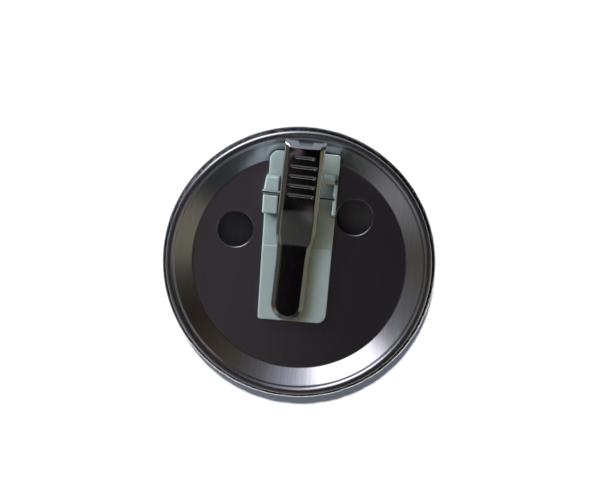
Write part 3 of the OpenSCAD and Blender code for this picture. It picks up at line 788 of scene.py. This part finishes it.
class BADGE_OT_spring(bpy.types.Operator):
    """Build the wire spring that closes the clip"""

    bl_idname = "badge.spring"
    bl_label = "Spring"

    def execute(self, context):
        s = in_mm(context.scene.clip_sizes)
        # Gap between a leg and what it presses on
        gap = 0.06
        # Points round the wire, along the coil and along a leg
        round_wire, on_coil, on_leg = 14, 190, 12
        under = s.lever_cap * math.cos(s.pad_angle) - s.lever_t
        start = self.leg_angle(s, s.axle_z - s.floor_z - s.wire - gap)
        # Four and a half turns, less the angles at which the legs leave
        end = 9 * math.pi - s.pad_angle - self.leg_angle(s, under - s.wire - gap)
        a = np.linspace(start, end, on_coil)
        x = s.lever_x + s.coil_pitch * (a - (start + end) / 2) / (2 * np.pi)
        centre = np.column_stack([x, s.axle_y - s.coil * np.sin(a), s.axle_z - s.coil * np.cos(a)])
        legs = np.linspace(1, 0, on_leg, endpoint=False)[:, None] * s.leg
        first = centre[0] - legs * np.array([0, -math.cos(start), math.sin(start)])
        last = centre[-1] + legs[::-1] * np.array([0, -math.cos(end), math.sin(end)])
        turn = np.concatenate([np.full(on_leg, start), a, np.full(on_leg, end)])
        line = np.vstack([first, centre, last])[:, None]
        out = np.column_stack([0 * turn, -np.sin(turn), -np.cos(turn)])[:, None]
        b = whole_turn(round_wire)[None, :, None]
        tube = line + s.wire * (np.cos(b) * out + np.sin(b) * np.array([1.0, 0, 0]))
        caps = np.repeat(line[[0, -1]], round_wire, axis=1)
        shell = grid_shell(np.concatenate([caps[:1], tube, caps[1:]]), close_columns=True)
        colour = context.scene.badge_finishes.wire
        material = make_material("Spring steel wire", plated_nickel, colour=colour, roughness=0.2)
        spring = make_piece("spring_wire_coil", [shell], material, None, "clip_spring")
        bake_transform(spring)
        return {"FINISHED"}

    @staticmethod
    def leg_angle(s, rise):
        """The angle at which a leg leaves the coil on a tangent so that its end is at the rise."""
        return math.atan2(s.leg, s.coil) - math.acos(rise / math.hypot(s.leg, s.coil))


def pad_top(s, y):
    """Height of the pad's plane at a distance from the axle."""
    return s.axle_z + s.lever_cap + y * math.tan(s.pad_angle)


def lever_path(s):
    """The lever's upper line from the flange's edge over the fold, the pad and the waist to the jaw,
    at an even step with rounded bends, and each point's share of the way out along the flange."""
    fold = np.array([s.thumb_reach, pad_top(s, s.thumb_reach)])
    tip = fold + s.flange_len * np.array([math.cos(s.flange_drop), -math.sin(s.flange_drop)])
    corners = np.array(
        [
            tip,
            fold,
            (-s.waist_top, pad_top(s, -s.waist_top)),
            (-s.waist_end, s.jaw_z),
            (s.jaw_w / 2 - s.jaw_reach, s.jaw_z),
        ]
    )
    path = even_path(corners, step=0.09, blur=0.64)
    out = np.clip((path[:, 0] - fold[0]) / (tip[0] - fold[0]), 0, 1)
    return path, out, fold, tip


def half_section(s, w, depth, level):
    """Half of the lever's section at each station: out along the flat, round a bend to the sloping edge,
    round another down the flange, round its lower edge and back inside. Each bend is an arc about one
    middle for both sides of the sheet. Where level is 1 the sheet lies flat out to its edge. Gives
    distance across, depth below the upper line and which points lie on the upper flat."""
    w, depth, level = w[:, None], depth[:, None], level[:, None]
    t, slope = s.lever_t, s.rim_slope
    r = t + s.rim_bend
    near, far = w - s.rim_w - r * math.tan(slope / 2), w - r
    knee = s.rim_w * math.tan(slope) + r * math.tan((np.pi / 2 - slope) / 2)
    low = np.maximum(depth - t / 2, knee)
    flat = np.linspace(0, 1, 34)[None, :-1]
    a, b = np.linspace(0, slope, 7)[None], np.linspace(slope, np.pi / 2, 9)[None]
    down = np.linspace(0, 1, 6)[None, 1:-1]
    e = np.linspace(0, np.pi, 7)[None, 1:-1]
    outer, inner = (
        (
            np.hstack([near + k * np.sin(a), far + k * np.sin(b)]),
            np.hstack([r - k * np.cos(a), knee - k * np.cos(b)]),
        )
        for k in (r, s.rim_bend)
    )
    side = knee + down * (low - knee)
    lip_x, lip_d = w - t / 2 + t / 2 * np.cos(e), low + (depth - low) * np.sin(e)
    same = 0 * w
    upper = [0 * flat + same, outer[1] + same, side]
    lower = [side[:, ::-1], inner[1][:, ::-1] + same, 0 * flat + t + same]
    d = np.hstack([*upper, lip_d, *lower])
    lip_flat = t / 2 * (1 - np.cos(e)) + same
    d_flat = np.hstack([*(0 * u for u in upper), lip_flat, *(0 * u + t for u in lower)])
    x_upper = [flat * near, outer[0], w + 0 * down]
    x_lower = [w - t + 0 * down, inner[0][:, ::-1], (flat * near)[:, ::-1]]
    x = np.hstack([*x_upper, lip_x, *x_lower])
    return x, d + (d_flat - d) * level, np.arange(x.shape[1]) < flat.shape[1]


class BADGE_OT_lever(bpy.types.Operator):
    """Build the pressed-steel lever with its grooves, end flange and jaw"""

    bl_idname = "badge.lever"
    bl_label = "Lever"

    def execute(self, context):
        s = in_mm(context.scene.clip_sizes)
        path, out, fold, tip = lever_path(s)
        y = path[:, 0]
        widths = np.array(
            [
                (tip[0], s.flange_w),
                (fold[0], s.pad_w),
                (-s.waist_top, s.pad_w),
                (-s.hip_at, s.hip_w),
                (-s.hip_end, s.pad_w),
                (-s.waist_end, s.neck_w),
                (-s.waist_end - s.neck, s.jaw_w),
                (-s.jaw_reach, s.jaw_w),
            ]
        )[::-1]
        half = even_path(np.column_stack([widths[:, 0], widths[:, 1] / 2]), step=0.1, blur=1.0)
        w = np.interp(y, half[:, 0], half[:, 1])
        lobe = np.sqrt(np.maximum(s.lobe**2 - y**2, 0))
        # The flanges grow shallow just before the fold, and the end flange lies flat past it
        shallow, flat_from, flat_in = 0.9, -0.2, 1.1
        plain = np.interp(
            y,
            [-s.jaw_reach, -s.waist_end, s.lobe, fold[0] - shallow, fold[0], tip[0]],
            [s.jaw_depth, s.waist_depth, s.pad_depth, s.pad_depth, s.end_depth, s.end_depth],
        )
        depth = np.maximum(plain, np.where(np.abs(y) < s.lobe, path[:, 1] - s.axle_z + lobe, 0))
        x, d, upper = half_section(s, w, depth, smoothstep((y - fold[0] - flat_from) / flat_in))
        down = normals(path)
        # Pressed features: grooves in the upper side, a fold with drooping ends, an arched waist, horns
        # and a notch. Lengths in which a groove, the droop, the arch and the notch's side fade out
        groove_fade, droop_fade, arch_fade, notch_fade = 0.6, 2.6, 3.5, 0.24
        for i in range(s.grooves):
            near = np.clip(np.abs(y - i * s.groove_pitch) / (s.groove_w / 2), 0, 1)
            reach = s.groove_len / 2 - (s.groove_short / 2 if i == s.grooves - 1 else 0)
            across = smoothstep((reach + groove_fade / 4 - x) / groove_fade) * upper
            d = d + s.groove_depth * (np.cos(np.pi / 2 * near) ** 2)[:, None] * across
        share = np.clip(x / w[:, None], 0, 1)
        ramp = (smoothstep((y - fold[0] + droop_fade) / droop_fade) * (1 - out))[:, None]
        droop = s.droop * ramp * share**2
        arch = s.waist_arch * smoothstep(1 - np.abs(y + s.waist_top) / arch_fade)[:, None] * share**2
        notch = s.notch_depth * smoothstep((s.notch_w / 2 + notch_fade / 2 - x) / notch_fade)
        along = (tip - fold) / np.linalg.norm(tip - fold)
        longer = s.horn * np.clip((x + s.rim_w - w[:, None]) / s.rim_w, 0, 1) - notch
        # The horns and the notch are drawn out of the flange's outer part
        outer = 0.7
        cut = longer * np.clip((out - (1 - outer)) / outer, 0, 1)[:, None]
        ys = y[:, None] + d * down[:, :1] + droop - arch + cut * along[0]
        zs = path[:, 1:] + d * down[:, 1:] - droop * math.tan(s.flange_drop) + cut * along[1]
        side = np.stack([x, ys, zs], axis=-1)
        # The jaw's tip: the last station turned half round its middle
        phi = np.linspace(0, np.pi, 61)[1:-1, None]
        r, height = side[-1, :, 0], side[-1, :, 2]
        round_tip = np.stack([r * np.cos(phi), path[-1, 0] - r * np.sin(phi), height + 0 * phi], axis=-1)
        left = side[::-1] * np.array([-1.0, 1, 1])
        points = np.concatenate([side, round_tip, left]) + np.array([s.lever_x, s.axle_y, 0])
        rows, columns = points.shape[:2]
        # The two halves of the flange's end are closed by strips across the sheet
        k = np.arange(columns // 2 - 1)
        cap = np.column_stack([k, k + 1, columns - 2 - k, columns - 1 - k])
        ends = [cap, (cap + (rows - 1) * columns)[:, ::-1]]
        shell = closed_shell(points, np.vstack([grid_faces(rows, columns), *ends]))
        colour = context.scene.badge_finishes.nickel
        material = make_material("Bright nickel plate", plated_nickel, colour=colour, roughness=0.07)
        make_piece("lever_pressing", [shell], material, "lever", "clip_lever")
        return {"FINISHED"}


def photo_direction(image_angle, zenith):
    """The direction at an angle round the picture, clockwise from its right, and an angle from
    straight up, both in degrees."""
    turn = PHOTO_TURN - math.radians(image_angle)
    flat = math.sin(math.radians(zenith))
    return Vector((flat * math.cos(turn), flat * math.sin(turn), math.cos(math.radians(zenith))))


def aim(location, target, up):
    """The matrix that places an object at a point with its -Z axis towards the target."""
    back = (location - target).normalized()
    right = up.cross(back).normalized()
    turned = Matrix((right, back.cross(right), back)).transposed().to_4x4()
    return Matrix.Translation(location) @ turned


def pale_floor(tree, colour, glow):
    """A plain pale floor: it takes the object's shadow, and rays from the camera, mirrors and glass
    also see a faint light from it, so that the shadow isn't black."""
    rays = add(tree, "LightPath").outputs
    seen = rays["Is Camera Ray"]
    for kind in ("Is Glossy Ray", "Is Transmission Ray"):
        seen = add(tree, "Math", {0: seen, 1: rays[kind]}, operation="MAXIMUM").outputs[0]
    return {
        "Base Color": colour4(colour),
        "Roughness": 1.0,
        "Specular IOR Level": 0.0,
        "Emission Color": colour4(glow),
        "Emission Strength": seen,
    }


def height_share(degrees):
    """The height on a unit sphere at an angle from straight up."""
    return math.cos(math.radians(degrees))


# Round the picture, in degrees clockwise from its right: olive and pale walls, dark furniture, a
# doorway's grey light
WALLS = (
    (0, "#3C3A32"),
    (20, "#8A8A75"),
    (36, "#8C887A"),
    (48, "#2C3236"),
    (70, "#3C4446"),
    (100, "#686E6C"),
    (120, "#565B5B"),
    (137, "#9B9EA2"),
    (165, "#58584E"),
    (200, "#6E7274"),
    (230, "#A8B4C4"),
    (277, "#B0BCCC"),
    (286, "#646668"),
    (310, "#4C4438"),
    (345, "#2C231B"),
    (360, "#3C3A32"),
)
# Across the dark ceiling, from the picture's left to its right
CEILING = (
    (-0.3, "#1A181B"),
    (-0.16, "#1E1B1E"),
    (-0.11, "#746970"),
    (-0.075, "#6A6066"),
    (-0.05, "#0C0C0F"),
    (0.06, "#060609"),
    (0.3, "#282834"),
)
CEILING_REACH = 0.3
# How far the ceiling's bands lean from the picture's upright
CEILING_LEAN = 0.08
# Angles from straight up between which the ceiling gives way to the walls
CEILING_EDGE, WALL_TOP = 24, 42
# The patch of sky: where it is, the angles from its middle where it fades out and where it is full
SKY_AT, SKY_OUT, SKY_FULL = (252, 36), 14, 5
SKY_STRENGTH, SKY_COLOUR = 1.3, (0.93, 0.98, 1, 1)


def room_light(scene):
    """A dim room: a dark ceiling, a ring of walls and furniture round the sides, and a patch of sky."""
    world = bpy.data.worlds.new("Dim room")
    scene.world = world
    world.use_nodes = True
    tree = world.node_tree
    tree.nodes.clear()
    way = add(tree, "TexCoord").outputs["Generated"]
    x, y, z = add(tree, "SeparateXYZ", {0: way}).outputs
    turn = add(tree, "Math", {0: y, 1: x}, operation="ARCTAN2").outputs[0]
    whole = 2 * math.pi
    # The share of a whole turn, clockwise from the picture's right
    clockwise = {0: turn, 1: -1 / whole, 2: PHOTO_TURN / whole + 1}
    share = add(tree, "Math", clockwise, operation="MULTIPLY_ADD").outputs[0]
    share = add(tree, "Math", {0: share}, operation="FRACT").outputs[0]
    walls = add(tree, "ValToRGB", {"Fac": share})
    walls.color_ramp.interpolation = "EASE"
    stops(walls.color_ramp, [(degrees / 360, text) for degrees, text in WALLS])

    right = photo_direction(0, 90) - photo_direction(270, 90) * CEILING_LEAN
    across = add(tree, "VectorMath", {0: way, 1: right}, operation="DOT_PRODUCT").outputs["Value"]
    span = add(tree, "MapRange", {"Value": across, "From Min": -CEILING_REACH, "From Max": CEILING_REACH})
    ceiling = add(tree, "ValToRGB", {"Fac": span.outputs["Result"]})
    stops(ceiling.color_ramp, [((place / CEILING_REACH + 1) / 2, text) for place, text in CEILING])
    edges = {"Value": z, "From Min": height_share(CEILING_EDGE), "From Max": height_share(WALL_TOP)}
    low = add(tree, "MapRange", edges, interpolation_type="SMOOTHSTEP").outputs["Result"]
    sides = {"Factor": low, "A": ceiling.outputs["Color"], "B": walls.outputs["Color"]}
    room = add(tree, "Mix", sides, data_type="RGBA").outputs["Result"]

    towards = add(tree, "VectorMath", {0: way, 1: photo_direction(*SKY_AT)}, operation="DOT_PRODUCT")
    patch = {
        "Value": towards.outputs["Value"],
        "From Min": height_share(SKY_OUT),
        "From Max": height_share(SKY_FULL),
        "To Max": SKY_STRENGTH,
    }
    sky = add(tree, "MapRange", patch, interpolation_type="SMOOTHSTEP").outputs["Result"]
    sides = {"Factor": sky, "A": room, "B": SKY_COLOUR}
    light = add(tree, "Mix", sides, data_type="RGBA", clamp_factor=False).outputs["Result"]
    background = add(tree, "Background", {"Color": light})
    add(tree, "OutputWorld", {"Surface": background.outputs["Background"]})


def hang_lamp(scene, light, place, target):
    """Links a lamp to the scene at a place, with its light towards the target."""
    lamp = bpy.data.objects.new(light.name, light)
    lamp.matrix_world = aim(target + place, target, Vector((0, 0, 1)))
    scene.collection.objects.link(lamp)
    return lamp


def plain_sun(name, level, zenith, spread, colour):
    """A distant lamp that gives a level floor the light level: a white floor then shows that value."""
    sun = bpy.data.lights.new(name, "SUN")
    sun.energy = level * math.pi / height_share(zenith)
    sun.angle = math.radians(spread)
    sun.color = colour
    return sun


# The window lamp: where it is, its distance, its width and height in metres, and its power in watts
WINDOW_AT, WINDOW_AWAY, WINDOW_SIZE, WINDOW_POWER = (239, 58), 0.6, (0.37, 0.40), 1.15
# Distant lamps on the object: level, place round the picture and from straight up, spread and colour
SUNS = {
    "key": (0.63, 210, 66, 30, (0.91, 0.98, 1.0)),
    "fill": (0.23, 15, 20, 60, (1.0, 0.8, 0.42)),
}
# The floor's own lamp: where it is and its spread
TABLE_AT, TABLE_SPREAD = (266, 28), 4
# The camera: where it is, its distance in millimetres, and the pixels of a millimetre there
CAMERA_AT, CAMERA_AWAY, PIXELS_PER_MM = (284, 8.5), 240, 4.70
# The picture's width and the camera's shift in pixels, and the sensor's width in millimetres
IMAGE_WIDTH, SHIFT_X, SHIFT_Y, SENSOR = 600, 1.4, 12.0, 36


class BADGE_OT_stage(bpy.types.Operator):
    """Build the floor, the lamps, the room's light and the camera"""

    bl_idname = "badge.stage"
    bl_label = "Stage"

    def execute(self, context):
        scene = context.scene
        finishes = scene.badge_finishes
        scene.view_settings.view_transform = "Standard"
        mesh = bpy.data.meshes.new("floor")
        reach = 4.0
        corners = [(-reach, -reach, 0), (reach, -reach, 0), (reach, reach, 0), (-reach, reach, 0)]
        mesh.from_pydata(corners, [], [(0, 1, 2, 3)])
        pale = make_material("Pale floor", pale_floor, colour=finishes.floor, glow=finishes.shadow)
        mesh.materials.append(pale)
        floor = bpy.data.objects.new("floor", mesh)
        scene.collection.objects.link(floor)
        room_light(scene)

        centre = Vector((0, 0, 5 * MM))
        window = bpy.data.lights.new("window", "AREA")
        window.shape = "RECTANGLE"
        window.size, window.size_y = WINDOW_SIZE
        window.energy = WINDOW_POWER
        window.color = (0.96, 0.99, 1.0)
        lamps = [hang_lamp(scene, window, photo_direction(*WINDOW_AT) * WINDOW_AWAY, centre)]
        for name, (level, turn, zenith, spread, colour) in SUNS.items():
            sun = plain_sun(name, level, zenith, spread, colour)
            lamp = hang_lamp(scene, sun, photo_direction(turn, zenith), centre)
            lamp.visible_glossy = False
            lamps.append(lamp)
        # The floor has its own lamp, so that its white doesn't depend on the light on the object
        table = plain_sun("table", 1.0, TABLE_AT[1], TABLE_SPREAD, (1, 1, 1))
        table = hang_lamp(scene, table, photo_direction(*TABLE_AT), centre)
        only_floor = bpy.data.collections.new("Floor alone")
        only_floor.objects.link(floor)
        table.light_linking.receiver_collection = only_floor
        not_floor = bpy.data.collections.new("All but the floor")
        not_floor.objects.link(floor)
        not_floor.collection_objects[0].light_linking.link_state = "EXCLUDE"
        for lamp in lamps:
            lamp.light_linking.receiver_collection = not_floor

        lens = bpy.data.cameras.new("camera")
        lens.sensor_fit = "HORIZONTAL"
        lens.sensor_width = SENSOR
        lens.lens = PIXELS_PER_MM * CAMERA_AWAY / IMAGE_WIDTH * SENSOR
        lens.shift_x, lens.shift_y = SHIFT_X / IMAGE_WIDTH, SHIFT_Y / IMAGE_WIDTH
        lens.clip_start, lens.clip_end = 0.01, 20
        camera = bpy.data.objects.new("camera", lens)
        place = centre + photo_direction(*CAMERA_AT) * CAMERA_AWAY * MM
        camera.matrix_world = aim(place, centre, photo_direction(270, 90))
        scene.collection.objects.link(camera)
        scene.camera = camera
        return {"FINISHED"}


class BADGE_PT_sidebar(bpy.types.Panel):
    """Lists the badge's operators"""

    bl_idname = "BADGE_PT_sidebar"
    bl_label = "Button badge"
    bl_space_type = "VIEW_3D"
    bl_region_type = "UI"
    bl_category = "Badge"

    def draw(self, context):
        for step in STEPS:
            self.layout.operator(step.bl_idname)


GROUPS = {"badge_sizes": BadgeSizes, "clip_sizes": ClipSizes, "badge_finishes": BadgeFinishes}
STEPS = (
    BADGE_OT_stage,
    BADGE_OT_front,
    BADGE_OT_back_plate,
    BADGE_OT_tape,
    BADGE_OT_clip_base,
    BADGE_OT_axle,
    BADGE_OT_spring,
    BADGE_OT_lever,
)
CLASSES = (*GROUPS.values(), *STEPS, BADGE_PT_sidebar)


def register():
    for cls in CLASSES:
        bpy.utils.register_class(cls)
    for name, group in GROUPS.items():
        setattr(bpy.types.Scene, name, PointerProperty(type=group))


def unregister():
    for name in GROUPS:
        delattr(bpy.types.Scene, name)
    for cls in reversed(CLASSES):
        bpy.utils.unregister_class(cls)


def main():
    register()
    for step in STEPS:
        group, operator = step.bl_idname.split(".")
        getattr(getattr(bpy.ops, group), operator)()


if __name__ == "__main__":
    main()
